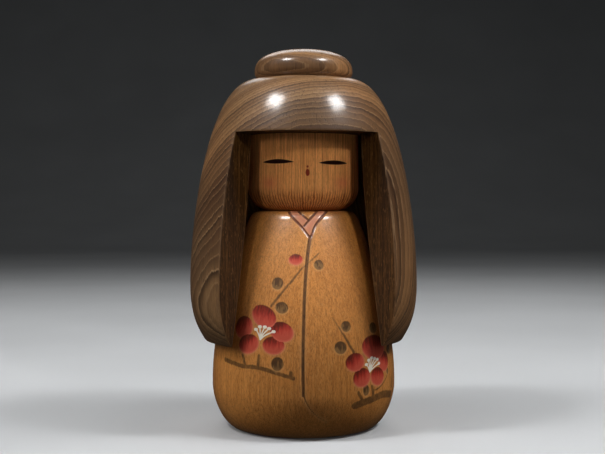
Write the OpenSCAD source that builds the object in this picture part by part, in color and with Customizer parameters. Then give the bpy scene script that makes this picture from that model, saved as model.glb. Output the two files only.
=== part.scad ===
// Turned wooden kokeshi doll, standing on its flat base.
// A bell-shaped body carries a round head on a neck dowel. The head is glued up inside a hollow
// turned hair shell whose front is sawn open, and a flattened bun sits on the crown.
// Origin at the centre of the base, +Z up, and the doll faces -Y. Millimetres.

/* [Body] */
// Widest radius of the body
body_r = 51.5; // [50.5:0.1:52]
// Radius of the flat that the doll stands on
foot_r = 38.4; // [34:0.2:42]
// Height of the rounded bottom edge
foot_round_h = 24; // [20:1:26]
// Height of the shoulder's flat top, under the head
shoulder_h = 121; // [120:0.2:122]
// Radius at which the shoulder starts to round over
shoulder_r = 31.6; // [30.6:0.1:32]
// Radius of the shoulder's flat top
shoulder_flat_r = 24; // [20:0.5:26]

/* [Head] */
// Radius of the head
head_r = 31.3; // [30.5:0.1:31.5]
// Radius of the rounded chin
chin_round = 12.5; // [8:0.5:14]
// Height of the head's glued top end
head_top = 186; // [180:0.5:187]
// Clearance between the chin and the shoulder, so that the head turns
chin_gap = 0.2; // [0.1:0.05:0.4]

/* [Hair shell] */
// Widest radius of the hair
hair_r = 64.1; // [62.5:0.1:65]
// Height at which the hair is widest
hair_widest_h = 80; // [76:1:84]
// Height of the flat crown under the bun
crown_h = 194.8; // [194:0.1:196]
// Radius of the flat crown
crown_r = 28; // [24:0.5:30]
// Height of the hem
hem_h = 48.8; // [46:0.2:50]
// Outer radius at the hem
hem_r = 55.8; // [55.2:0.1:56.5]
// Wall left at the hem
hem_wall = 1.6; // [1.2:0.1:1.8]
// Height of the straight fringe, which is also the ceiling of the hollow
fringe_h = 163.3; // [160:0.1:166]
// Radius of the hollow at its ceiling
hollow_r = 40.6; // [39:0.1:41.5]
// Angle from the front to each sawn face
opening_angle = 47; // [42:0.5:52]

/* [Bun] */
// Radius of the bun
bun_r = 27.8; // [26:0.1:29]
// Overall height of the doll, at the top of the bun
total_h = 212; // [209:0.5:215]
// Height of the rounding under the bun
bun_round_h = 4.6; // [3:0.1:6]

/* [Dowels] */
// Radius of the neck dowel
neck_dowel_r = 6; // [5:0.5:8]
// Depth of the neck dowel in the body
neck_dowel_depth = 20; // [15:1:25]
// Height of the neck dowel above the shoulder
neck_dowel_rise = 22; // [18:1:25]
// Radial running clearance of the head on the neck dowel
neck_clearance = 0.05; // [0.02:0.01:0.09]
// Radius of the crown dowel
crown_dowel_r = 4; // [3:0.5:5]
// Depth of the crown dowel in the head
crown_dowel_depth = 14; // [10:1:16]
// Depth of the crown dowel in the bun
bun_dowel_depth = 10; // [8:0.5:12]

/* [Carved robe lines] */
// Depth of the carved lines
carve_depth = 0.6; // [0.3:0.1:0.8]
// Width of the collar lines
collar_line_w = 1.5; // [1:0.1:2]
// Width of the robe's front line
front_line_w = 2.1; // [1.4:0.1:2.6]
// Width of the hairline that curls away below the front line
front_tail_w = 0.8; // [0.6:0.1:1.2]

/* [Hidden] */
$fn = 96;

pale_wood = [0.80, 0.60, 0.38];
face_wood = [0.84, 0.66, 0.44];
dark_wood = [0.38, 0.29, 0.22];
dowel_wood = [0.86, 0.74, 0.56];

foot_power = 1.7;        // below 2, so the bottom edge is fuller than an ellipse cut
bun_power = 2.5;         // above 2, so the bun is flatter than an ellipse
curve_steps = 16;        // chords in each curved stretch of an outline
reach = 90;              // longer than any radius, for the cutters

// Body outline between the rounded bottom edge and the shoulder's rounding
wall_start = [body_r, foot_round_h + 3];
wall_end = [shoulder_r, shoulder_h - 6];
shoulder_edge = [shoulder_flat_r, shoulder_h];

// Hair outline: widest point, hem, and the hollow's two ends
crown_edge = [crown_r, crown_h];
hair_widest = [hair_r, hair_widest_h];
hem_outer = [hem_r, hem_h];
hem_inner = [hem_r - hem_wall, hem_h];
hollow_top = [hollow_r, fringe_h];

bun_base_r = bun_r - 4.3;
bun_widest_h = crown_h + bun_round_h;

// Carved lines as seen from the front, in [x, z]
front_line = [[1.8, 107.2], [0.3, 98], [-1.2, 84], [-2.1, 68], [-2.8, 46], [-2.7, 25]];
front_tail = [[-2.8, 26], [-1.2, 21.5], [1.4, 17.2], [6, 12.8], [9.5, 10.8]];
left_collar = [[-9.5, 121.5], [-7.9, 118.2], [-3.2, 113], [1.9, 106.4]];
right_collar = [[12.8, 122.5], [8.4, 117.6], [4.9, 113.4], [2.3, 107.2]];
left_undercollar = [[-4.6, 121.5], [-3.3, 120], [-1, 118], [1, 116.2]];
right_undercollar = [[7.2, 122.5], [5.7, 120.7], [2.6, 117.4], [-1.3, 113]];

// Points of a cubic curve from a to d, with b and c as its handles
function curve(a, b, c, d, steps = curve_steps) = [
    for (i = [0:steps])
        let (t = i / steps, u = 1 - t)
            u * u * u * a + 3 * u * u * t * b + 3 * u * t * t * c + t * t * t * d
];

// All but the first point, for joining stretches that share an end
function rest_of(points) = [for (i = [1:len(points) - 1]) points[i]];

// Quarter of a superellipse about centre c, from below it round to its side
function rounded_foot(c, w, h, power, steps = curve_steps) = [
    for (i = [0:steps])
        let (a = 90 * i / steps)
            [c[0] + w * pow(sin(a), 2 / power), c[1] - h * pow(cos(a), 2 / power)]
];

// Quarter of a superellipse about centre c, from its side up to its top
function rounded_top(c, w, h, power, steps = curve_steps) = [
    for (i = [0:steps])
        let (a = 90 * i / steps)
            [c[0] + w * pow(cos(a), 2 / power), c[1] + h * pow(sin(a), 2 / power)]
];

// Smooth line through every point: a cubic curve for each gap, with handles along its neighbours
function handle(points, i) =
    (points[min(i + 1, len(points) - 1)] - points[max(i - 1, 0)]) / 6;

function smooth_line(points, steps = 4) = concat(
    [points[0]],
    [for (i = [0:len(points) - 2])
        each rest_of(curve(points[i], points[i] + handle(points, i),
                           points[i + 1] - handle(points, i + 1), points[i + 1], steps))]
);

// Unit normal of a line at point i
function line_normal(points, i) =
    let (d = points[min(i + 1, len(points) - 1)] - points[max(i - 1, 0)])
        [-d[1], d[0]] / norm(d);

// Outline of a ribbon of width w along a line
function ribbon(points, w) =
    let (n = len(points) - 1)
    concat(
        [for (i = [0:n]) points[i] + w / 2 * line_normal(points, i)],
        [for (i = [n:-1:0]) points[i] - w / 2 * line_normal(points, i)]
    );

// Body outline, inset by a depth, from the foot up to the shoulder's flat top
function body_outline(inset = 0) = concat(
    [[0, inset]],
    rounded_foot([foot_r, foot_round_h], body_r - inset - foot_r, foot_round_h - inset, foot_power),
    curve(wall_start - [inset, 0], [body_r - inset, 58], [39 - inset, 99], wall_end - [inset, 0]),
    rest_of(curve(wall_end - [inset, 0], [shoulder_r - 1.4 - inset, shoulder_h - 2.4],
                  shoulder_edge + [4.4 - inset, -inset], shoulder_edge - [inset, inset])),
    [[0, shoulder_h - inset]]
);

// Cuts through the front of the body, one for each carved line, clear of where the head sits
module robe_line_cutters() {
    translate([0, chin_round - head_r, 0])
        rotate([90, 0, 0])
            linear_extrude(height = reach) {
                polygon(ribbon(smooth_line(front_line), front_line_w));
                polygon(ribbon(smooth_line(front_tail), front_tail_w));
                for (line = [left_collar, right_collar, left_undercollar, right_undercollar])
                    polygon(ribbon(smooth_line(line), collar_line_w));
            }
}

module body() {
    color(pale_wood)
        difference() {
            union() {
                difference() {
                    rotate_extrude() polygon(body_outline());
                    robe_line_cutters();
                }
                rotate_extrude() polygon(body_outline(carve_depth));
            }
            translate([0, 0, shoulder_h - neck_dowel_depth])
                cylinder(r = neck_dowel_r, h = neck_dowel_depth + 1);
        }
}

module neck_dowel() {
    color(dowel_wood)
        translate([0, 0, shoulder_h - neck_dowel_depth])
            cylinder(r = neck_dowel_r, h = neck_dowel_depth + neck_dowel_rise);
}

module head() {
    chin_h = shoulder_h + chin_gap;
    chin_centre = [head_r - chin_round, chin_h + chin_round];
    color(face_wood)
        difference() {
            rotate_extrude()
                polygon(concat(
                    [[0, chin_h]],
                    rounded_foot(chin_centre, chin_round, chin_round, 2),
                    [[head_r, head_top], [0, head_top]]
                ));
            translate([0, 0, chin_h - 1])
                cylinder(r = neck_dowel_r + neck_clearance, h = neck_dowel_rise + 2);
            translate([0, 0, head_top - crown_dowel_depth])
                cylinder(r = crown_dowel_r, h = crown_dowel_depth + 1);
        }
}

// Full bell of hair before its front is sawn away
module hair_bell() {
    rotate_extrude()
        polygon(concat(
            [[0, fringe_h], hollow_top],
            rest_of(curve(hollow_top, [42.4, 125], [47, 92], hem_inner)),
            curve(hem_outer, [hem_r + 3.8, hem_h + 6.2], [hair_r, hair_widest_h - 18], hair_widest),
            rest_of(curve(hair_widest, [hair_r, 116], [54, crown_h], crown_edge, 2 * curve_steps)),
            [[0, crown_h]]
        ));
}

// Wedge between the two sawn faces, up to the fringe
module front_opening() {
    corner = [reach * sin(opening_angle), -reach * cos(opening_angle)];
    linear_extrude(height = fringe_h)
        polygon([[0, 0], [-corner[0], corner[1]], [-corner[0], -1.5 * reach],
                 [corner[0], -1.5 * reach], corner]);
}

module hair_shell() {
    color(dark_wood)
        difference() {
            hair_bell();
            front_opening();
            translate([0, 0, fringe_h - 1])
                cylinder(r = head_r, h = head_top - fringe_h + 1);
            cylinder(r = crown_dowel_r, h = crown_h + 1);
        }
}

module crown_dowel() {
    bottom = head_top - crown_dowel_depth;
    color(dowel_wood)
        translate([0, 0, bottom])
            cylinder(r = crown_dowel_r, h = crown_h + bun_dowel_depth - bottom);
}

module bun() {
    color(dark_wood)
        difference() {
            rotate_extrude()
                polygon(concat(
                    [[0, crown_h]],
                    rounded_foot([bun_base_r, bun_widest_h], bun_r - bun_base_r, bun_round_h, 2),
                    rest_of(rounded_top([0, bun_widest_h], bun_r, total_h - bun_widest_h, bun_power))
                ));
            translate([0, 0, crown_h - 1])
                cylinder(r = crown_dowel_r, h = bun_dowel_depth + 1);
        }
}

body();
neck_dowel();
head();
hair_shell();
crown_dowel();
bun();
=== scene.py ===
"""Looks of the turned kokeshi doll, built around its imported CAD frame. Blender 4.5."""

import math

import bmesh
import bpy
import numpy as np
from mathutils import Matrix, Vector


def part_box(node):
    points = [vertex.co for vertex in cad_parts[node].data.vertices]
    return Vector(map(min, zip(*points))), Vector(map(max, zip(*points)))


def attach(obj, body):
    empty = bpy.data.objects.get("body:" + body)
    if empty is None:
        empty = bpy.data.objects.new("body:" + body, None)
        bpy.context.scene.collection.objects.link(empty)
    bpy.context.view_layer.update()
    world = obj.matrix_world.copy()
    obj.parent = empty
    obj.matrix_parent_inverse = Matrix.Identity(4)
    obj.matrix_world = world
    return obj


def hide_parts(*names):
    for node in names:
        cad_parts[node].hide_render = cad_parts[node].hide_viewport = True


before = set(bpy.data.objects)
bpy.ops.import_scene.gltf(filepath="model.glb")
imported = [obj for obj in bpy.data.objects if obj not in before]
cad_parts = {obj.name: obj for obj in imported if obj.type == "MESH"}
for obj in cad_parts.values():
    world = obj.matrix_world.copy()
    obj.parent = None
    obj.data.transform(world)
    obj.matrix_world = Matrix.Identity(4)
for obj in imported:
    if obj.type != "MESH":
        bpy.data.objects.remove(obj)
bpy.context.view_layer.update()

MM = 0.001


def in_mm(node):
    """Lowest and highest corners of a CAD node, in millimetres."""
    low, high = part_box(node)
    return np.array(low) / MM, np.array(high) / MM


body_low, body_high = in_mm("body")
head_low, head_high = in_mm("head")
hair_low, hair_high = in_mm("hair_shell")
bun_low, bun_high = in_mm("bun")
neck_low, neck_high = in_mm("neck_dowel")
crown_low, crown_high = in_mm("crown_dowel")


# ---------------------------------------------------------------- camera, floor and light

CAMERA_AZIMUTH = -2.9     # degrees to the doll's right of straight ahead
CAMERA_DISTANCE = 0.598
CAMERA_HEIGHT = 0.1254
LENS = 62.5               # focal length in millimetres, on a 36 mm sensor
LENS_SHIFT = (-0.0017, -0.0397)
LIGHT_AIM = 0.12          # height on the doll's axis that the softboxes face
# The paper sweep that the doll stands on, in metres
SWEEP_WIDTH = 14.0
SWEEP_FRONT = 6.0
SWEEP_BACK = 2.2
SWEEP_BEND = 1.8
SWEEP_HEIGHT = 6.0


def direction(azimuth, elevation):
    """Unit vector from the doll; azimuth 0 is straight in front of it, 90 is towards +X."""
    a, e = math.radians(azimuth), math.radians(elevation)
    return Vector((math.sin(a) * math.cos(e), -math.cos(a) * math.cos(e), math.sin(e)))


def add_camera():
    camera = bpy.data.cameras.new("camera")
    camera.sensor_width = 36
    camera.lens = LENS
    camera.shift_x, camera.shift_y = LENS_SHIFT
    holder = bpy.data.objects.new("camera", camera)
    holder.location = direction(CAMERA_AZIMUTH, 0) * CAMERA_DISTANCE + Vector((0, 0, CAMERA_HEIGHT))
    holder.rotation_euler = (math.radians(90), 0, math.radians(CAMERA_AZIMUTH))
    bpy.context.collection.objects.link(holder)
    bpy.context.scene.camera = holder


def add_light(name, kind, azimuth, elevation, distance, power, aim, glossy):
    """A light that the camera can't see, aimed at a height on the doll's axis."""
    light = bpy.data.lights.new(name, kind)
    light.energy = power
    holder = bpy.data.objects.new(name, light)
    target = Vector((0, 0, aim))
    holder.location = target + direction(azimuth, elevation) * distance
    holder.rotation_euler = (target - holder.location).to_track_quat("-Z", "Y").to_euler()
    holder.visible_camera = False
    holder.visible_glossy = glossy
    bpy.context.collection.objects.link(holder)
    return light


def add_softbox(name, azimuth, elevation, distance, size, power, glossy=False):
    light = add_light(name, "AREA", azimuth, elevation, distance, power, LIGHT_AIM, glossy)
    light.shape = "RECTANGLE"
    light.size, light.size_y = size


def add_window(name, azimuth, elevation, size, power):
    """A broad, gentle reflection in the polish, which lights nothing else."""
    add_softbox(name, azimuth, elevation, 1.0, size, power, glossy=True)
    bpy.data.objects[name].visible_diffuse = False


def add_snoot(name, azimuth, elevation, power, aim, beam):
    """A narrow, soft-edged lamp, a metre away, for a place that the hair shades."""
    light = add_light(name, "SPOT", azimuth, elevation, 1.0, power, aim, glossy=False)
    light.spot_size = math.radians(beam)
    light.spot_blend = 0.6
    light.shadow_soft_size = 0.08


def add_studio():
    world = bpy.data.worlds.new("studio")
    world.use_nodes = True
    background = world.node_tree.nodes["Background"]
    background.inputs["Color"].default_value = (0.86, 0.90, 0.90, 1)
    background.inputs["Strength"].default_value = 0.014
    bpy.context.scene.world = world
    bpy.context.scene.view_settings.view_transform = "Standard"

    add_softbox("key_left", -64, 54, 1.0, (0.12, 0.16), 3.7)
    add_softbox("key_right", 66, 52, 1.0, (0.12, 0.16), 3.2)
    add_softbox("high_left", -60, 72, 1.0, (0.14, 0.2), 0.8)
    add_softbox("high_right", 60, 72, 1.0, (0.14, 0.2), 0.8)
    add_softbox("low_left", -80, 30, 1.0, (0.30, 0.40), 2.9)
    add_softbox("low_right", 82, 45, 1.0, (0.30, 0.40), 3.8)
    add_softbox("front_fill", 0, 3, 1.2, (0.50, 0.12), 0.45)
    add_softbox("back_fill", 180, 40, 1.1, (0.70, 0.40), 2.0, glossy=True)
    add_window("window_left", -57, 56, (0.26, 0.20), 7.0)
    add_window("window_right", 57, 53, (0.24, 0.20), 6.2)
    add_snoot("face_left", -30, 10, 30.0, aim=0.138, beam=4.2)
    add_snoot("face_right", 30, 22, 56.0, aim=0.137, beam=4.4)
    add_snoot("face_upper", 3, -4, 16.0, aim=0.149, beam=2.4)
    add_snoot("foot_left", -60, 16, 25.0, aim=0.032, beam=3.4)
    add_snoot("foot_right", 58, 16, 28.0, aim=0.032, beam=3.4)


# ---------------------------------------------------------------- outlines, in millimetres

def curve(a, b, c, d, steps=80):
    """Points of a cubic curve from a to d, with b and c as its handles."""
    t = np.linspace(0, 1, steps + 1)[:, None]
    a, b, c, d = (np.array(p, float) for p in (a, b, c, d))
    return (1 - t) ** 3 * a + 3 * (1 - t) ** 2 * t * b + 3 * (1 - t) * t ** 2 * c + t ** 3 * d


def rounded(centre, width, height, power, upward, steps=80):
    """Quarter of a superellipse: from below the centre out to its side, or from its side up to its top."""
    a = np.radians(np.linspace(0, 90, steps + 1))
    if upward:
        return np.stack([centre[0] + width * np.cos(a) ** (2 / power),
                         centre[1] + height * np.sin(a) ** (2 / power)], 1)
    return np.stack([centre[0] + width * np.sin(a) ** (2 / power),
                     centre[1] - height * np.cos(a) ** (2 / power)], 1)


def resample(points, step):
    """Points along an outline, a step apart; the step may be a function of height."""
    lengths = np.concatenate([[0], np.cumsum(np.linalg.norm(np.diff(points, axis=0), axis=1))])
    at = [0.0]
    while True:
        height = np.interp(at[-1], lengths, points[:, 1])
        gap = step(height) if callable(step) else step
        if at[-1] + 1.4 * gap >= lengths[-1]:
            break
        at.append(at[-1] + gap)
    at.append(lengths[-1])
    return np.stack([np.interp(at, lengths, points[:, k]) for k in (0, 1)], 1)


def chain(*stretches):
    """One outline from several stretches; a stretch's first point is dropped if it repeats the last."""
    points = []
    for stretch in stretches:
        for point in stretch:
            if not points or np.linalg.norm(np.subtract(point, points[-1])) > 1e-6:
                points.append(tuple(point))
    return np.array(points)


def columns(coarse, *zones):
    """Azimuths in degrees for a full turn, with finer steps inside (start, stop, step) zones."""
    edges = sorted(edge for zone in zones for edge in zone[:2])
    angles = [-180.0]
    while True:
        a = angles[-1]
        step = min([zone[2] for zone in zones if zone[0] - 1e-6 <= a < zone[1] - 1e-6] or [coarse])
        after = min([a + step] + [edge for edge in edges if edge > a + 1e-6])
        if after >= 180 - 0.3 * coarse:
            return np.array(angles)
        angles.append(after)


# ---------------------------------------------------------------- meshes

class Solid:
    """A closed mesh welded from grids of points, in millimetres."""

    def __init__(self):
        self.points, self.quads, self.slots, self.count = [], [], [], 0

    def grid(self, points, around=False, slot=0):
        """Adds a grid of points, closed into a ring if it runs all the way round."""
        rows, cols = points.shape[:2]
        index = self.count + np.arange(rows * cols).reshape(rows, cols)
        if around:
            index = np.concatenate([index, index[:, :1]], axis=1)
        quads = np.stack([index[:-1, :-1], index[:-1, 1:], index[1:, 1:], index[1:, :-1]], -1).reshape(-1, 4)
        self.points.append(points.reshape(-1, 3))
        self.quads.append(quads)
        self.slots.append(np.full(len(quads), slot))
        self.count += rows * cols

    def turned(self, outline, azimuths, slot=0):
        """Sweeps an outline of [radius, height] all the way round the doll's axis."""
        rows = turn(outline[:, :1], np.radians(azimuths)[None], outline[:, 1:])
        self.grid(rows, around=True, slot=slot)

    def build(self, name, sharp=50):
        """Welds the grids into one object, sharp where its faces meet at over so many degrees."""
        mesh = bpy.data.meshes.new(name)
        mesh.from_pydata((np.concatenate(self.points) * MM).tolist(), [], np.concatenate(self.quads).tolist())
        mesh.polygons.foreach_set("material_index", np.concatenate(self.slots).astype(np.int32))
        work = bmesh.new()
        work.from_mesh(mesh)
        bmesh.ops.remove_doubles(work, verts=work.verts, dist=0.002 * MM)
        bmesh.ops.recalc_face_normals(work, faces=work.faces)
        work.to_mesh(mesh)
        work.free()
        mesh.shade_smooth()
        mesh.set_sharp_from_angle(angle=math.radians(sharp))
        piece = bpy.data.objects.new(name, mesh)
        bpy.context.collection.objects.link(piece)
        return piece


def turn(radius, angle, height):
    """Points at a radius, an angle from straight ahead, and a height."""
    radius, angle, height = np.broadcast_arrays(radius, angle, height)
    return np.stack([radius * np.sin(angle), -radius * np.cos(angle), height], -1)


def places(piece):
    """Every vertex of a piece, in millimetres."""
    flat = np.empty(3 * len(piece.data.vertices))
    piece.data.vertices.foreach_get("co", flat)
    return flat.reshape(-1, 3) / MM


def polar(points):
    """Azimuth in radians, and radius, of points."""
    return np.arctan2(points[:, 0], -points[:, 1]), np.hypot(points[:, 0], points[:, 1])


def store(piece, name, values):
    """Keeps a value for each vertex, which a shader reads by name."""
    piece.data.attributes.new(name, "FLOAT", "POINT").data.foreach_set("value", values.astype(np.float32))


# ---------------------------------------------------------------- signed distances, in millimetres

FAR = 50.0                     # stands for anything too far away to matter


def smooth_line(points, steps=4):
    """The same smooth line through points that the CAD carves along."""
    points = np.array(points, float)
    last = len(points) - 1
    handle = [(points[min(i + 1, last)] - points[max(i - 1, 0)]) / 6 for i in range(last + 1)]
    ends = zip(points[:-1], handle[:-1], handle[1:], points[1:])
    return chain(*(curve(start, start + away, end - back, end, steps) for start, away, back, end in ends))


def stroke_field(u, v, points, start_width, end_width=None):
    """Distance outside a stroke whose width runs evenly from one end to the other."""
    end_width = start_width if end_width is None else end_width
    points = np.array(points, float)
    widths = np.linspace(start_width, end_width, len(points)) / 2
    field = np.full(len(u), FAR)
    for a, b, wa, wb in zip(points[:-1], points[1:], widths[:-1], widths[1:]):
        along = b - a
        t = np.clip(((u - a[0]) * along[0] + (v - a[1]) * along[1]) / (along @ along), 0, 1)
        gap = np.hypot(u - a[0] - t * along[0], v - a[1] - t * along[1])
        field = np.minimum(field, gap - (wa + t * (wb - wa)))
    return field


def oval_field(u, v, half_width, half_height):
    """Distance outside an oval centred on u = v = 0."""
    k = np.hypot(u / half_width, v / half_height)
    slope = np.hypot(u / half_width ** 2, v / half_height ** 2)
    return np.where(k > 1e-6, k * (k - 1) / np.maximum(slope, 1e-6), -min(half_width, half_height))


def polygon_field(u, v, points):
    """Distance outside a polygon, negative inside it."""
    points = np.array(points, float)
    inside = np.zeros(len(u), bool)
    edge = stroke_field(u, v, np.vstack([points, points[:1]]), 0)
    for a, b in zip(points, np.roll(points, -1, axis=0)):
        if a[1] != b[1]:
            crosses = (a[1] > v) != (b[1] > v)
            inside ^= crosses & (u < a[0] + (v - a[1]) * (b[0] - a[0]) / (b[1] - a[1]))
    return np.where(inside, -edge, edge)


# ---------------------------------------------------------------- body

FOOT = (38.4, 24.0)            # radius of the flat foot, and height of the rounded edge
SHOULDER_R = 31.6
SHOULDER_FLAT_R = 24.0
CARVE_DEPTH = 0.6
CARVE_REACH = -18.8            # the greatest y that a carved line reaches, under the head's chin
PAINT_TOP = 110                # height where the paint stops and only the collar goes on

# Carved robe lines as seen from the front, in [x, z], with their widths
CARVED = [
    ([[1.8, 107.2], [0.3, 98], [-1.2, 84], [-2.1, 68], [-2.8, 46], [-2.7, 25]], 2.0, 1.7),
    ([[-2.8, 26], [-1.2, 21.5], [1.4, 17.2], [6, 12.8], [9.5, 10.8]], 0.8, 0.4),
    ([[-9.5, 121.5], [-7.9, 118.2], [-3.2, 113], [1.9, 106.4]], 1.5, 1.5),
    ([[12.8, 122.5], [8.4, 117.6], [4.9, 113.4], [2.3, 107.2]], 1.5, 1.5),
    ([[-4.6, 121.5], [-3.3, 120], [-1, 118], [1, 116.2]], 1.3, 1.3),
    ([[7.2, 122.5], [5.7, 120.7], [2.6, 117.4], [-1.3, 113]], 1.4, 1.4),
]
# Tinted bands of the collar between its carved lines, in [x, z]
COLLAR_BANDS = [
    [[12.8, 122.5], [8.4, 117.6], [4.9, 113.4], [2.3, 107.2], [1.9, 106.4], [-2, 112], [2.6, 117.4],
     [7.2, 122.5]],
    [[-9.5, 121.5], [-7.9, 118.2], [-3.2, 113], [-1.3, 113], [1, 116.2], [-1, 118], [-3.3, 120],
     [-4.6, 121.5]],
]

# Painted ovals: azimuth, height, half width, half height, turn, and the way its dark edge faces (degrees)
LEFT_BLOSSOM = [
    (-44.6, 59.0, 6.3, 5.9, 0, 120),
    (-39.2, 50.6, 6.7, 5.1, 10, 115),
    (-21.6, 50.6, 6.2, 4.6, -4, 95),
    (-16.7, 57.8, 6.6, 5.0, -20, 105),
    (-29.6, 65.4, 7.8, 5.4, -25, 75),
]
RIGHT_BLOSSOM = [
    (56.2, 39.4, 5.8, 5.4, 10, 60),
    (47.0, 47.8, 9.8, 6.5, -5, 90),
    (48.2, 32.1, 6.1, 4.9, -8, 80),
    (34.4, 32.8, 6.0, 5.0, 8, 110),
    (29.8, 41.2, 6.1, 4.8, 5, 120),
]
BUD = [(-9.0, 95.3, 3.7, 2.9, 0, 90)]
LEAVES = [
    (8.8, 92.5, 2.6, 2.7, 0, 60), (-21.7, 82.7, 3.2, 3.2, 0, 90), (-17.4, 70.2, 3.6, 3.0, -15, 90),
    (-18.6, 41.2, 3.4, 3.6, 0, 90), (25.0, 60.1, 2.9, 2.9, 0, 80), (20.2, 49.3, 3.6, 3.3, 0, 90),
    (37.4, 25.8, 2.4, 2.9, 0, 90), (48.0, 58.0, 3.2, 2.9, 0, 90), (65.5, 44.8, 3.4, 2.6, 0, 90),
    (60.4, 33.6, 1.3, 1.8, 0, 90),
]
# Painted strokes: points of [azimuth, height], start width, end width
TWIGS = [
    ([[9.7, 98.6], [1.7, 94], [-4.5, 90.3], [-11.2, 84.1], [-16, 79.9], [-24.8, 70.8]], 0.7, 1.3),
    ([[15.9, 64.9], [20.2, 59.4], [24.7, 53], [29.1, 46.5]], 0.6, 1.7),
    ([[-59.2, 40.5], [-48.4, 39.3], [-41.1, 38.6], [-34.6, 38.8], [-27.1, 38.2], [-20.1, 36.6],
      [-13.5, 35.2], [-8.6, 33.9]], 2.4, 1.9),
    ([[-42.8, 44.6], [-40.5, 39.2]], 1.7, 2.2),
    ([[-30.7, 45], [-31, 39.6]], 1.4, 2.0),
    ([[-10.4, 36.8], [-10.6, 34.5]], 1.9, 2.2),
    ([[29.2, 18.1], [35.4, 19.3], [42, 20.2], [49.6, 21.3], [57, 21.4], [70, 19.4]], 3.8, 4.2),
    ([[31.6, 24.9], [35.2, 20]], 1.8, 2.4),
    ([[42.6, 27.2], [44, 21.3]], 1.9, 2.6),
    ([[42.4, 25.2], [47, 25.2], [52.8, 27.1], [58.4, 30.2], [60.4, 32.6]], 1.2, 0.7),
    ([[68.6, 31], [67.4, 24]], 1.4, 1.8),
]
# Stamens: azimuth and height of their base, and of each tip
LEFT_STAMENS = (-30.7, 53.3, [(-34.4, 58.4), (-31.7, 59.9), (-28.1, 59.9), (-25.0, 59.2), (-21.9, 57.7)])
RIGHT_STAMENS = (40.8, 35.2, [(38.3, 39.3), (40.5, 41.4), (43.3, 42.4), (46.0, 41.8), (48.8, 41.1),
                              (50.2, 38.8)])


def body_outline():
    """The body's outline, in finer steps where it is carved and painted."""
    def step(height):
        for top, gap in ((24, 0.9), (34, 0.6), (61, 0.36), (104, 0.66)):
            if height < top:
                return gap
        return 0.5

    low, high = body_low[2], body_high[2]
    radius = body_high[0]
    bore_r, bore_low = neck_high[0], neck_low[2]
    foot = rounded(FOOT, radius - FOOT[0], FOOT[1] - low, 1.7, upward=False)
    wall = curve((radius, FOOT[1] + 3), (radius, 58), (39, 99), (SHOULDER_R, high - 6))
    shoulder = curve((SHOULDER_R, high - 6), (SHOULDER_R - 1.4, high - 2.4),
                     (SHOULDER_FLAT_R + 4.4, high), (SHOULDER_FLAT_R, high))
    return chain([(0, low), (20, low)], resample(chain(foot, wall, shoulder), step),
                 [(15, high), (bore_r, high), (bore_r, bore_low), (0, bore_low)])


def paint_ovals(piece, name, ovals, azimuth, height, radius):
    """Stores how far points are outside the nearest oval, and how near they are to its dark edge."""
    field, shade = np.full(len(azimuth), FAR), np.zeros(len(azimuth))
    for centre, level, half_width, half_height, tilt, dark in ovals:
        u, v = (azimuth - math.radians(centre)) * radius, height - level
        c, s = math.cos(math.radians(tilt)), math.sin(math.radians(tilt))
        distance = oval_field(u * c + v * s, v * c - u * s, half_width, half_height)
        d = math.radians(dark)
        across = (u * math.cos(d) + v * math.sin(d)) / (0.5 * (half_width + half_height))
        nearer = (distance < 0) | (distance < field)
        shade = np.where(nearer, across, shade)
        field = np.where(nearer, distance, field)
    store(piece, name + "_edge", field)
    store(piece, name + "_shade", shade)


def paint_strokes(azimuth, height, radius, strokes, outline):
    """How far points are outside the strokes drawn on the body's surface."""
    def flat(points):
        points = np.array(points, float)
        around = np.interp(points[:, 1], outline[:, 1], outline[:, 0])
        return np.stack([np.radians(points[:, 0]) * around, points[:, 1]], 1)

    field = np.full(len(azimuth), FAR)
    for points, start_width, end_width in strokes:
        line = smooth_line(flat(points)) if len(points) > 2 else flat(points)
        field = np.minimum(field, stroke_field(azimuth * radius, height, line, start_width, end_width))
    return field


def stamen_strokes(base_azimuth, base_height, tips):
    """Strokes of a fan of bent threads, each with a dot at its tip."""
    strokes = []
    for azimuth, height in tips:
        bend = [0.6 * base_azimuth + 0.4 * azimuth, 0.45 * base_height + 0.55 * height]
        strokes.append(([[base_azimuth, base_height], bend, [azimuth, height]], 0.75, 0.6))
        strokes.append(([[azimuth - 0.5, height], [azimuth + 0.5, height]], 1.5, 1.5))
    return strokes


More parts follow.
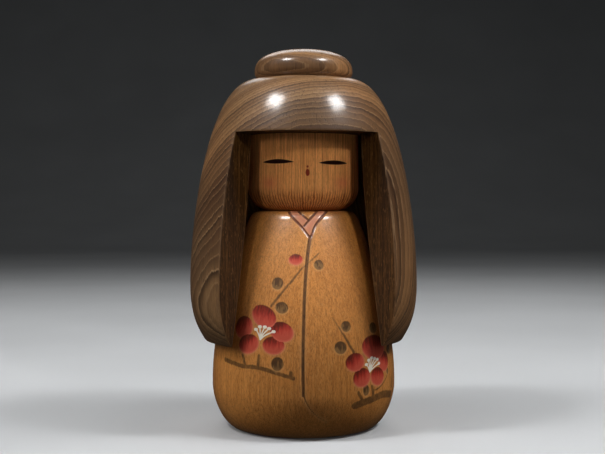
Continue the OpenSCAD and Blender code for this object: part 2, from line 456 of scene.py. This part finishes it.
def build_body():
    azimuths = columns(3.0, (-72, 72, 0.6), (-36, -21, 0.35), (37, 51.4, 0.35), (-6, 6, 0.36), (-20, 24, 0.5))
    outline = body_outline()
    solid = Solid()
    solid.turned(outline, azimuths)
    piece = solid.build("body_turned", sharp=60)

    at = places(piece)
    azimuth, radius = polar(at)
    x, z = at[:, 0], at[:, 2]
    wall = outline[outline[:, 0] > SHOULDER_FLAT_R]
    front = (at[:, 1] < CARVE_REACH) & (z > body_low[2] + 1)
    painted = front & (z < PAINT_TOP)

    carved = np.full(len(at), FAR)
    depth = np.zeros(len(at))
    for points, start_width, end_width in CARVED:
        line = stroke_field(x, z, smooth_line(points), start_width, end_width)
        half = 0.5 * start_width
        inward = np.clip(-line / half, 0, 1)
        depth = np.maximum(depth, min(CARVE_DEPTH, 0.9 * half) * np.sin(inward * math.pi / 2) ** 1.3)
        carved = np.minimum(carved, line)
    carved = np.where(front, carved, FAR)
    depth = np.where(front, depth, 0)
    band = np.minimum(*(polygon_field(x, z, points) for points in COLLAR_BANDS))
    store(piece, "carved_edge", carved)
    store(piece, "collar_edge", np.where(front, band, FAR))

    hidden = np.where(painted, 0, FAR)
    paint_ovals(piece, "petal", LEFT_BLOSSOM + RIGHT_BLOSSOM + BUD, azimuth, z + hidden, radius)
    paint_ovals(piece, "leaf", LEAVES, azimuth, z + hidden, radius)
    store(piece, "twig_edge", hidden + paint_strokes(azimuth, z, radius, TWIGS, wall))
    stamens = stamen_strokes(*LEFT_STAMENS) + stamen_strokes(*RIGHT_STAMENS)
    store(piece, "stamen_edge", hidden + paint_strokes(azimuth, z, radius, stamens, wall))

    normals = np.empty(3 * len(at))
    piece.data.vertices.foreach_get("normal", normals)
    at -= normals.reshape(-1, 3) * depth[:, None]
    piece.data.vertices.foreach_set("co", (at * MM).ravel())
    piece.data.update()
    return piece


# ---------------------------------------------------------------- head

CHIN_ROUND = 12.5
FRINGE_H = 163.3               # height of the hair's straight fringe, and of the hollow's ceiling
EYES = [(-30.2, 147.7, 10.0, 1.22), (29.7, 147.1, 9.8, 1.18)]   # azimuth, height, half length, half height
LIPS = [(1.1, 145.1, 0.65, 0.65), (1.1, 141.9, 1.15, 1.95)]   # nose and mouth: azimuth, height, half sizes
CHEEKS = [(-40, 136.2), (40.7, 136.3)]
NECK_CLEARANCE = 0.05


def build_head():
    radius, low, high = head_high[0], head_low[2], head_high[2]
    bore_r, bore_high = neck_high[0] + NECK_CLEARANCE, neck_high[2] + 0.2
    top_bore_r, top_bore_low = crown_high[0], crown_low[2]
    chin = rounded((radius - CHIN_ROUND, low + CHIN_ROUND), CHIN_ROUND, CHIN_ROUND, 2, upward=False)
    wall = np.array([(radius, low + CHIN_ROUND), (radius, FRINGE_H - 0.2)])
    outline = chain([(0, bore_high), (bore_r, bore_high), (bore_r, low)], resample(chain(chin, wall), 0.42),
                    [(radius, high), (top_bore_r, high), (top_bore_r, top_bore_low), (0, top_bore_low)])
    solid = Solid()
    solid.turned(outline, columns(3.0, (-66, 66, 0.66)))
    piece = solid.build("head_turned")

    at = places(piece)
    azimuth, around = polar(at)
    z = at[:, 2]
    outside = np.where((around > bore_r + 1) & (at[:, 1] < 0), 0, FAR)

    eyes = np.full(len(at), FAR)
    for centre, level, half_length, half_height in EYES:
        u = (azimuth - math.radians(centre)) * radius
        lid = half_height * (1 - (u / half_length) ** 2)
        eyes = np.minimum(eyes, np.abs(z - level - 0.25 * lid) - lid)
    lips = np.full(len(at), FAR)
    for centre, level, half_width, half_height in LIPS:
        u = (azimuth - math.radians(centre)) * radius
        lips = np.minimum(lips, oval_field(u, z - level, half_width, half_height))
    blush = np.zeros(len(at))
    for centre, level in CHEEKS:
        u = (azimuth - math.radians(centre)) * radius
        blush = np.maximum(blush, np.exp(-(u / 5.0) ** 2 - ((z - level) / 3.2) ** 2))
    store(piece, "eye_edge", eyes + outside)
    store(piece, "lip_edge", lips + outside)
    store(piece, "blush", np.where(outside > 0, 0, blush))
    return piece


# ---------------------------------------------------------------- hair shell

OPENING = 47.0                 # angle from the front to each sawn face, in degrees
HOLLOW_R = 40.6
HEM_WALL = 1.6
WIDEST_H = 80.0
CROWN_R = 28.0
HEM_R = 55.8
EDGE_ROUND = 0.55              # sawn edges are eased by this much


def eased(distance):
    """How far a surface drops towards an eased edge, at a distance from that edge."""
    gap = np.clip(EDGE_ROUND - distance, 0, EDGE_ROUND)
    return EDGE_ROUND - np.sqrt(EDGE_ROUND ** 2 - gap ** 2)


def build_hair():
    radius, low, high = hair_high[0], hair_low[2], hair_high[2]
    socket_r, socket_high = head_high[0], head_high[2]
    bore_r = crown_high[0]
    opening = math.radians(OPENING)

    crown = curve((CROWN_R, high), (54, high), (radius, 116), (radius, WIDEST_H), 400)
    flank = curve((radius, WIDEST_H), (radius, WIDEST_H - 18), (HEM_R + 3.8, low + 6.2), (HEM_R, low), 200)
    outer = chain(crown, flank)[::-1]
    inner = curve((HEM_R - HEM_WALL, low), (47, 92), (42.4, 125), (HOLLOW_R, FRINGE_H), 200)

    def outer_r(height):
        return np.interp(height, outer[:, 1], outer[:, 0])

    easing = np.array([0, 0.29, 1, 2.2, 4]) * EDGE_ROUND
    beside = OPENING + np.degrees(easing / radius)
    marks = np.concatenate([beside, -beside])
    azimuths = np.arange(-180, 180, 2.4)
    azimuths = azimuths[np.abs(azimuths[:, None] - marks).min(axis=1) > 0.6]
    azimuths = np.sort(np.concatenate([azimuths, marks]))
    front = np.radians(azimuths[np.abs(azimuths) <= OPENING])
    behind = np.radians(np.concatenate([azimuths[azimuths >= OPENING], azimuths[azimuths <= -OPENING] + 360]))
    across = np.array([0, 0.05, 0.2, 0.4, 0.6, 0.8, 0.95, 1])[:, None]

    def between(a, b):
        return a + (b - a) * across

    solid = Solid()

    # Outer surface above the fringe, all the way round, eased down to the fringe's edge in front
    upper = resample(crown, 1.6)
    upper = upper[upper[:, 1] > FRINGE_H + 1.2 * easing[-1]]
    above = chain([(bore_r, high), (0.5 * (bore_r + CROWN_R), high)], upper,
                  [(outer_r(FRINGE_H + e), FRINGE_H + e) for e in easing[::-1]])
    turned_by = np.radians(azimuths)
    past = np.maximum(np.abs(turned_by) - opening, 0) * above[:, :1]
    drop = eased(np.hypot(above[:, 1:] - FRINGE_H, past))
    solid.grid(turn(above[:, :1] - drop, turned_by, above[:, 1:]), around=True)

    # Outer surface and hollow below the fringe, eased towards the sawn faces and the hem
    levels = np.concatenate([np.linspace(FRINGE_H, low + 1.5, 70),
                             low + np.array([0.75, EDGE_ROUND, 0.29 * EDGE_ROUND, 0])])[:, None]
    hem_ease = eased(levels - low)
    outside = outer_r(levels) - hem_ease
    inside = np.interp(levels, inner[:, 1], inner[:, 0]) + hem_ease
    sideways = np.minimum(behind - opening, 2 * math.pi - opening - behind)
    most = 0.3 * (outside - inside)
    outside = outside - np.minimum(eased(sideways * outside), most)
    inside = inside + np.minimum(eased(sideways * inside), most) * np.clip((FRINGE_H - levels) / 2, 0, 1)
    for skin in (outside, inside):
        solid.grid(turn(skin, behind, levels))
    solid.grid(turn(between(outside[-1], inside[-1]), behind, low))

    # Sawn faces
    for column, angle in ((0, opening), (-1, -opening)):
        solid.grid(turn(between(outside[:, column], inside[:, column]), angle, levels[:, 0]), slot=1)

    # Fringe underside, the ceiling of the hollow, and the head's socket
    solid.grid(turn(between(outside[0, 0], HOLLOW_R), front, FRINGE_H), slot=1)
    rim = np.array([(HOLLOW_R, FRINGE_H), (36, FRINGE_H), (socket_r, FRINGE_H), (socket_r, 175),
                    (socket_r, socket_high), (bore_r, socket_high), (bore_r, high)])
    solid.turned(rim, azimuths, slot=1)
    piece = solid.build("hair_turned")

    at = places(piece)
    azimuth, around = polar(at)
    z = at[:, 2]
    corner = np.hypot((np.abs(azimuth) - opening) * around, around - outer_r(z))
    corner = np.where(z <= FRINGE_H, corner, np.hypot(corner, z - FRINGE_H))
    fringe = np.hypot(z - FRINGE_H, around - outer_r(FRINGE_H))
    fringe = np.where(np.abs(azimuth) <= opening, fringe, FAR)
    store(piece, "edge", np.minimum(np.minimum(corner, fringe), np.hypot(z - low, around - HEM_R)))
    return piece


# ---------------------------------------------------------------- bun

BUN_ROUND = (4.3, 4.6)         # width and height of the rounding under the bun


def build_bun():
    radius, low, high = bun_high[0], bun_low[2], bun_high[2]
    base_r, widest_h = radius - BUN_ROUND[0], low + BUN_ROUND[1]
    bore_r, bore_high = crown_high[0], crown_high[2]
    lower = rounded((base_r, widest_h), radius - base_r, widest_h - low, 2, upward=False)
    upper = rounded((0, widest_h), radius, high - widest_h, 2.5, upward=True, steps=300)
    solid = Solid()
    solid.turned(chain([(0, bore_high), (bore_r, bore_high), (bore_r, low), (14, low)],
                       resample(lower, 0.7), resample(upper, 0.8)), columns(3.0))
    piece = solid.build("bun_turned")
    store(piece, "edge", np.full(len(piece.data.vertices), FAR))
    return piece


# ---------------------------------------------------------------- materials

def srgb(red, green, blue):
    """Linear colour from an 8-bit screen colour."""
    return tuple((c / 255 / 12.92) if c / 255 <= 0.04045 else ((c / 255 + 0.055) / 1.055) ** 2.4
                 for c in (red, green, blue)) + (1.0,)


class Num:
    """A number on a material's surface; arithmetic on it adds Math nodes."""

    def __init__(self, shader, socket):
        self.shader, self.socket = shader, socket

    def __add__(self, other):
        return self.shader.math("ADD", self, other)

    def __sub__(self, other):
        return self.shader.math("SUBTRACT", self, other)

    def __mul__(self, other):
        return self.shader.math("MULTIPLY", self, other)

    def __truediv__(self, other):
        return self.shader.math("DIVIDE", self, other)

    __radd__ = __add__


class Shader:
    """One material's nodes. Lengths are in millimetres and x, y, z are the doll's own axes."""

    def __init__(self, name):
        self.material = bpy.data.materials.new(name)
        self.material.use_nodes = True
        self.tree = self.material.node_tree
        self.tree.nodes.clear()
        self.surface = self.add("ShaderNodeBsdfPrincipled")
        output = self.add("ShaderNodeOutputMaterial")
        self.tree.links.new(self.surface.outputs[0], output.inputs["Surface"])
        scale = self.add("ShaderNodeVectorMath", operation="SCALE")
        scale.inputs["Scale"].default_value = 1 / MM
        self.tree.links.new(self.add("ShaderNodeTexCoord").outputs["Object"], scale.inputs[0])
        self.point = scale.outputs[0]
        split = self.add("ShaderNodeSeparateXYZ")
        self.tree.links.new(self.point, split.inputs[0])
        self.x, self.y, self.z = (Num(self, socket) for socket in split.outputs)

    def add(self, kind, **settings):
        node = self.tree.nodes.new(kind)
        for key, value in settings.items():
            setattr(node, key, value)
        return node

    def plug(self, socket, value):
        if isinstance(value, Num):
            value = value.socket
        if isinstance(value, bpy.types.NodeSocket):
            self.tree.links.new(value, socket)
        else:
            socket.default_value = value

    def math(self, operation, *values):
        node = self.add("ShaderNodeMath", operation=operation)
        for socket, value in zip(node.inputs, values):
            self.plug(socket, value)
        return Num(self, node.outputs[0])

    def length(self, a, b):
        return self.math("SQRT", a * a + b * b)

    def step(self, value, start, end):
        """Smooth rise from 0 at start to 1 at end."""
        node = self.add("ShaderNodeMapRange", interpolation_type="SMOOTHSTEP")
        for socket, number in zip(node.inputs, (value, start, end)):
            self.plug(socket, number)
        return Num(self, node.outputs[0])

    def noise(self, across, along, detail=2.0, rough=0.5, shift=0.0):
        """Noise from 0 to 1, with so many cycles per millimetre across and along the fibres."""
        stretch = self.add("ShaderNodeMapping")
        self.plug(stretch.inputs["Vector"], self.point)
        stretch.inputs["Scale"].default_value = (across, across, along)
        stretch.inputs["Location"].default_value = (shift, 2 * shift, 3 * shift)
        node = self.add("ShaderNodeTexNoise")
        self.plug(node.inputs["Vector"], stretch.outputs[0])
        node.inputs["Scale"].default_value = 1
        node.inputs["Detail"].default_value = detail
        node.inputs["Roughness"].default_value = rough
        return Num(self, node.outputs["Fac"])

    def sway(self, across, along, size, detail=2.0, shift=0.0):
        """Noise centred on 0, of about a size in millimetres."""
        return (self.noise(across, along, detail, shift=shift) - 0.5) * (2 * size)

    def chance(self, value):
        """A random number for each whole number."""
        node = self.add("ShaderNodeTexWhiteNoise", noise_dimensions="1D")
        self.plug(node.inputs["W"], value)
        return Num(self, node.outputs["Value"])

    def stored(self, name):
        node = self.add("ShaderNodeAttribute", attribute_name=name)
        return Num(self, node.outputs["Fac"])

    def ramp(self, value, *stops):
        node = self.add("ShaderNodeValToRGB")
        elements = node.color_ramp.elements
        while len(elements) < len(stops):
            elements.new(0.5)
        for element, (position, colour) in zip(elements, stops):
            element.position, element.color = position, colour
        self.plug(node.inputs[0], value)
        return node.outputs["Color"]

    def mix(self, factor, a, b):
        node = self.add("ShaderNodeMix", data_type="RGBA")
        for socket, value in zip((node.inputs["Factor"], node.inputs[6], node.inputs[7]), (factor, a, b)):
            self.plug(socket, value)
        return node.outputs[2]

    def finish(self, colour, roughness, height, coat=0.0, coat_roughness=0.2, specular=0.5):
        """Connects the surface; height is its relief, in millimetres."""
        relief = self.add("ShaderNodeBump")
        relief.inputs["Distance"].default_value = MM
        relief.inputs["Strength"].default_value = 1
        self.plug(relief.inputs["Height"], height)
        self.plug(self.surface.inputs["Base Color"], colour)
        self.plug(self.surface.inputs["Roughness"], roughness)
        self.plug(self.surface.inputs["Normal"], relief.outputs[0])
        self.surface.inputs["Coat Weight"].default_value = coat
        self.surface.inputs["Coat Roughness"].default_value = coat_roughness
        self.surface.inputs["Specular IOR Level"].default_value = specular
        return self.material


def ring_count(s, pith, spacing, lean, level):
    """How many growth rings lie between the tree's pith and a point, with their natural wander.

    The pith passes through x, y at a level, and leans sideways by so much for each millimetre upwards.
    """
    across = s.x - pith[0] - (s.z - level) * lean
    ring = s.length(across, s.y - pith[1])
    ring = ring + s.sway(1 / 45, 1 / 80, 1.6)
    ring = ring + s.sway(0.12, 0.03, 0.5, shift=7)
    ring = ring + s.sway(1.2, 0.10, 0.22, shift=3)
    return ring / spacing


def hair_wood(name, pith, spacing, lean, level, painted_shade_span):
    """Dark wood with growth rings: each is a thin pale line, then dark, fading outwards to plain brown.

    The wood darkens with painted shade between two distances from the pith, and more so higher up, which
    falls on the front of the dome and the strands.
    """
    s = Shader(name)
    count = ring_count(s, pith, spacing, lean, level)
    phase = s.math("FRACT", count)
    strength = s.chance(s.math("FLOOR", count)) * 0.75 + 0.25      # each ring's own contrast
    light = s.step(phase, 0.0, 0.05) * s.step(phase, 0.24, 0.08)
    dark = s.step(phase, 0.10, 0.20) * s.step(phase, 0.92, 0.25)
    group = s.math("FRACT", count / 5.3)                            # broad bands, some five rings wide
    band = s.step(group, 0.04, 0.12) * s.step(group, 0.95, 0.35)

    broad = s.noise(1 / 55, 1 / 80, 1.0, shift=2)
    base = s.ramp(broad, (0.3, srgb(150, 116, 80)), (0.5, srgb(156, 114, 74)), (0.7, srgb(168, 120, 76)))
    # Painted shade: darker away from the pith, so on the front, and more so higher up
    inner = s.step(count * spacing, *painted_shade_span) * s.step(s.z, 45, 150)
    base = s.mix(inner * 0.88, base, srgb(46, 32, 26))
    fibres = s.noise(1.0, 0.05, 3.0, 0.65, shift=11)
    base = s.mix(s.step(fibres, 0.35, 0.7) * 0.4, base, srgb(98, 68, 42))
    colour = s.mix(band * 0.45, base, srgb(72, 46, 30))
    streaks = s.noise(0.8, 0.06, 2.0, 0.6, shift=61)
    colour = s.mix(dark * strength * (0.4 + streaks * 0.8), colour, srgb(44, 27, 17))
    colour = s.mix(light * strength * (0.05 + streaks * 0.6), colour, srgb(196, 160, 120))
    pores = s.step(s.noise(1.3, 0.16, 1.0, shift=17), 0.60, 0.70)
    colour = s.mix(pores * 0.4, colour, srgb(46, 30, 18))
    edge = s.stored("edge")
    worn = s.step(edge + s.sway(0.5, 0.3, 0.6), 0.9, 0.2)
    colour = s.mix(worn * 0.2, colour, srgb(156, 120, 84))

    roughness = 0.36 + fibres * 0.16 + dark * 0.06 + worn * 0.1
    height = fibres * 0.07 - pores * 0.05 - dark * strength * 0.07 + s.sway(0.05, 0.04, 0.06, shift=5)
    return s.finish(colour, roughness, height, coat=0.6, coat_roughness=0.18, specular=0.22)


def sawn_wood(name):
    """The hair's sawn faces, fringe and hollow: dull, dark and straight-grained."""
    s = Shader(name)
    lines = s.noise(0.9, 0.012, 3.0, 0.65, shift=4)
    grain = s.noise(1.8, 0.16, 2.0, 0.6, shift=9)
    colour = s.ramp(lines, (0.34, srgb(58, 34, 13)), (0.5, srgb(74, 46, 19)), (0.66, srgb(96, 64, 30)))
    specks = s.step(grain, 0.48, 0.62)
    colour = s.mix(specks * 0.7, colour, srgb(32, 17, 6))
    glints = s.step(s.noise(1.5, 0.3, 1.0, shift=71), 0.6, 0.7)
    colour = s.mix(glints * 0.5, colour, srgb(128, 92, 52))
    worn = s.step(s.stored("edge") + s.sway(0.5, 0.3, 0.6), 0.9, 0.2)
    colour = s.mix(worn * 0.4, colour, srgb(150, 118, 84))
    roughness = 0.55 + grain * 0.2
    return s.finish(colour, roughness, lines * 0.08 + grain * 0.06, specular=0.3)


def pale_wood(s, base_tones, fleck_amount):
    """Fine, dense wood with short dark flecks along the fibres; returns its colour and relief."""
    broad = s.noise(1 / 30, 1 / 60, 2.0, shift=1)
    colour = s.ramp(broad, *zip((0.32, 0.5, 0.68), base_tones))
    fibres = s.noise(0.9, 0.03, 3.0, 0.65, shift=8)
    colour = s.mix(s.step(fibres, 0.35, 0.7) * 0.5, colour, srgb(168, 98, 36))
    flecks = s.step(s.noise(2.6, 0.4, 2.0, 0.65, shift=13), 0.50, 0.62)
    colour = s.mix(flecks * fleck_amount, colour, srgb(118, 62, 16))
    pale = s.step(s.noise(1.9, 0.3, 1.0, shift=19), 0.56, 0.68)
    colour = s.mix(pale * 0.25, colour, srgb(242, 182, 110))
    return colour, fibres, flecks


def body_wood(name):
    """Pale wood with its painted sprays and tinted robe lines."""
    s = Shader(name)
    tones = (srgb(217, 142, 68), srgb(224, 149, 74), srgb(231, 156, 80))
    colour, fibres, flecks = pale_wood(s, tones, 0.38)
    ragged = s.noise(0.9, 0.2, 2.0, 0.6, shift=23)
    torn = (ragged - 0.5) * 0.9
    soak = s.noise(0.7, 0.4, 2.0, shift=29)

    # Collar bands, then twigs, leaves, blossoms and stamens
    collar = s.step(s.stored("collar_edge"), 0.3, -0.3)
    colour = s.mix(collar * 0.8, colour, srgb(216, 134, 104))
    twig = s.step(s.stored("twig_edge") + torn * 1.2, 0.3, -0.35)
    colour = s.mix(twig * (0.45 + soak * 0.6), colour, srgb(82, 58, 32))

    leaf_edge, leaf_shade = s.stored("leaf_edge"), s.stored("leaf_shade")
    leaf = s.step(leaf_edge + torn * 0.7, 0.3, -0.35)
    halo = s.step(leaf_edge, 1.4, 0.2) * s.step(leaf_shade, 0.3, -0.5)
    colour = s.mix(halo * 0.35, colour, srgb(236, 178, 112))
    comb = s.step(s.noise(0.9, 0.04, 1.0, shift=67), 0.42, 0.58)
    combed = s.step(leaf_shade + comb * 1.1 + torn * 0.8, 0.1, 0.9)
    leaf_colour = s.mix(combed, srgb(128, 96, 58), srgb(60, 40, 20))
    colour = s.mix(leaf * (0.75 + soak * 0.25), colour, leaf_colour)

    petal_edge, petal_shade = s.stored("petal_edge"), s.stored("petal_shade")
    petal = s.step(petal_edge + torn * 0.5, 0.3, -0.3)
    glow = s.step(petal_edge, 1.4, 0.0) * s.step(petal_shade, 0.5, -0.4)
    colour = s.mix(glow * 0.45, colour, srgb(230, 150, 112))
    dark = s.step(petal_shade + torn * 0.6 + comb * 0.28, -0.35, 0.95)
    petal_colour = s.ramp(dark, (0.0, srgb(212, 84, 66)), (0.35, srgb(196, 56, 48)), (0.7, srgb(156, 30, 30)),
                          (1.0, srgb(96, 10, 12)))
    rim = s.step(petal_edge, -1.2, -0.1) * s.step(petal_shade, 0.35, -0.35)
    petal_colour = s.mix(rim * 0.6, petal_colour, srgb(232, 122, 98))
    colour = s.mix(petal * 0.93, colour, petal_colour)

    stamen = s.step(s.stored("stamen_edge") + torn * 0.35, 0.14, -0.1)
    colour = s.mix(stamen, colour, srgb(255, 246, 228))

    # Carved robe lines, tinted where they were cut
    carved = s.stored("carved_edge")
    stained = s.step(carved + torn * 0.4, 0.15, -0.25)
    # Painted highlight: a paler border along the edges of the carved grooves
    colour = s.mix(s.step(carved, 1.5, 0.3) * 0.16, colour, srgb(240, 190, 130))
    stain = s.mix(s.step(s.z, 104, 109), srgb(100, 60, 24), srgb(110, 44, 26))
    stain = s.mix(s.step(ragged, 0.46, 0.62) * 0.75, stain, srgb(44, 22, 8))
    colour = s.mix(stained * (0.7 + soak * 0.3), colour, stain)

    roughness = 0.38 + fibres * 0.16 + flecks * 0.08 + stained * 0.12 - petal * 0.05
    height = fibres * 0.04 - flecks * 0.04 + petal * 0.02 + stamen * 0.06 + s.sway(0.06, 0.05, 0.05, shift=31)
    return s.finish(colour, roughness, height, coat=1.0, coat_roughness=0.2)


def face_wood(name):
    """Pale wood with strong upright rings and a painted face."""
    s = Shader(name)
    tones = (srgb(246, 164, 94), srgb(252, 171, 100), srgb(255, 178, 106))
    colour, fibres, flecks = pale_wood(s, tones, 0.25)
    # Growth rings show as upright lines that draw together on the chin
    across = s.x / s.length(s.x, s.y) * head_high[0]
    count = (across + s.sway(1 / 30, 1 / 60, 1.5) + s.sway(0.5, 0.03, 0.9, shift=3)) / 1.5 + 60
    phase = s.math("FRACT", count)
    strength = s.chance(s.math("FLOOR", count))
    late = s.step(phase, 0.35, 0.8) * s.step(phase, 1.0, 0.88)
    # Painted shade under the chin: darker towards its bottom where it turns under, with its ring lines
    # stronger there, partly real end grain and partly painted shade
    chin = s.step(s.z, 135, 127)
    colour = s.mix(chin * 0.35, colour, srgb(190, 112, 52))
    colour = s.mix(late * (0.08 + strength * strength * 0.4 + chin * 0.7), colour, srgb(134, 62, 18))
    threads = s.step(s.noise(1.5, 0.03, 1.0, shift=37), 0.62, 0.70)
    colour = s.mix(threads * 0.5, colour, srgb(124, 58, 22))
    colour = s.mix(s.stored("blush") * 0.45, colour, srgb(216, 98, 70))
    torn = (s.noise(1.6, 0.4, 2.0, shift=41) - 0.5) * 0.3
    eye = s.step(s.stored("eye_edge") + torn * 0.5, 0.12, -0.12)
    colour = s.mix(eye, colour, srgb(30, 8, 8))
    lip = s.step(s.stored("lip_edge") + torn, 0.2, -0.25)
    colour = s.mix(lip * 0.95, colour, srgb(140, 34, 18))
    roughness = 0.42 + fibres * 0.14 + late * 0.05
    height = fibres * 0.03 - late * 0.04 + eye * 0.03 + s.sway(0.06, 0.05, 0.05, shift=43)
    return s.finish(colour, roughness, height, coat=0.15, coat_roughness=0.26)


def dowel_wood(name):
    s = Shader(name)
    lines = s.noise(1.2, 0.02, 3.0, 0.6, shift=47)
    colour = s.ramp(lines, (0.3, srgb(196, 162, 116)), (0.5, srgb(222, 190, 144)), (0.7, srgb(234, 206, 164)))
    pores = s.step(s.noise(2.4, 0.25, 1.0, shift=53), 0.6, 0.72)
    colour = s.mix(pores * 0.3, colour, srgb(160, 118, 74))
    return s.finish(colour, 0.5 + lines * 0.2, lines * 0.06 - pores * 0.04)


def floor_paper(name):
    s = Shader(name)
    colour = s.ramp(s.noise(0.004, 0.004, 2.0), (0.3, srgb(196, 198, 200)), (0.7, srgb(204, 206, 208)))
    return s.finish(colour, 0.75 + s.noise(0.2, 0.2) * 0.1, s.noise(0.8, 0.8) * 0.05)


# ---------------------------------------------------------------- assembly

def build_backdrop():
    """A paper sweep: the floor, curving up a long way behind the doll."""
    a = np.radians(np.linspace(0, 90, 33))
    profile = chain([(-SWEEP_FRONT, 0)],
                    np.stack([SWEEP_BACK + SWEEP_BEND * np.sin(a), SWEEP_BEND * (1 - np.cos(a))], 1),
                    [(SWEEP_BACK + SWEEP_BEND, SWEEP_HEIGHT)])
    mesh = bpy.data.meshes.new("floor")
    mesh.from_pydata([(x, y, z) for y, z in profile for x in (-SWEEP_WIDTH / 2, SWEEP_WIDTH / 2)], [],
                     [(2 * i, 2 * i + 1, 2 * i + 3, 2 * i + 2) for i in range(len(profile) - 1)])
    mesh.shade_smooth()
    floor = bpy.data.objects.new("floor", mesh)
    floor.data.materials.append(floor_paper("floor_paper"))
    floor.visible_diffuse = False
    floor.visible_glossy = False
    bpy.context.collection.objects.link(floor)
    return floor


def place(piece, body, node, slot, *materials):
    """Puts a finished piece on its body, in place of the CAD node that it stands for."""
    for material in materials:
        piece.data.materials.append(material)
    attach(piece, body)
    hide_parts(node)


add_camera()
add_studio()

place(build_body(), "doll_body", "body", "body_wood", body_wood("body_wood_painted"))
place(build_head(), "doll_head", "head", "face_wood", face_wood("face_wood_painted"))
hair = hair_wood("hair_wood_polished", (-2, 17), 1.3, lean=-0.16, level=150, painted_shade_span=(58, 74))
place(build_hair(), "doll_head", "hair_shell", "hair_wood", hair, sawn_wood("hair_wood_sawn"))
knob = hair_wood("bun_wood_polished", (4, 7), 1.5, lean=0.1, level=204, painted_shade_span=(31, 43))
place(build_bun(), "doll_head", "bun", "hair_wood", knob)
dowel = dowel_wood("dowel_wood_plain")
for node in ("neck_dowel", "crown_dowel"):
    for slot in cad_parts[node].material_slots:
        slot.material = dowel

build_backdrop()

bpy.context.view_layer.update()
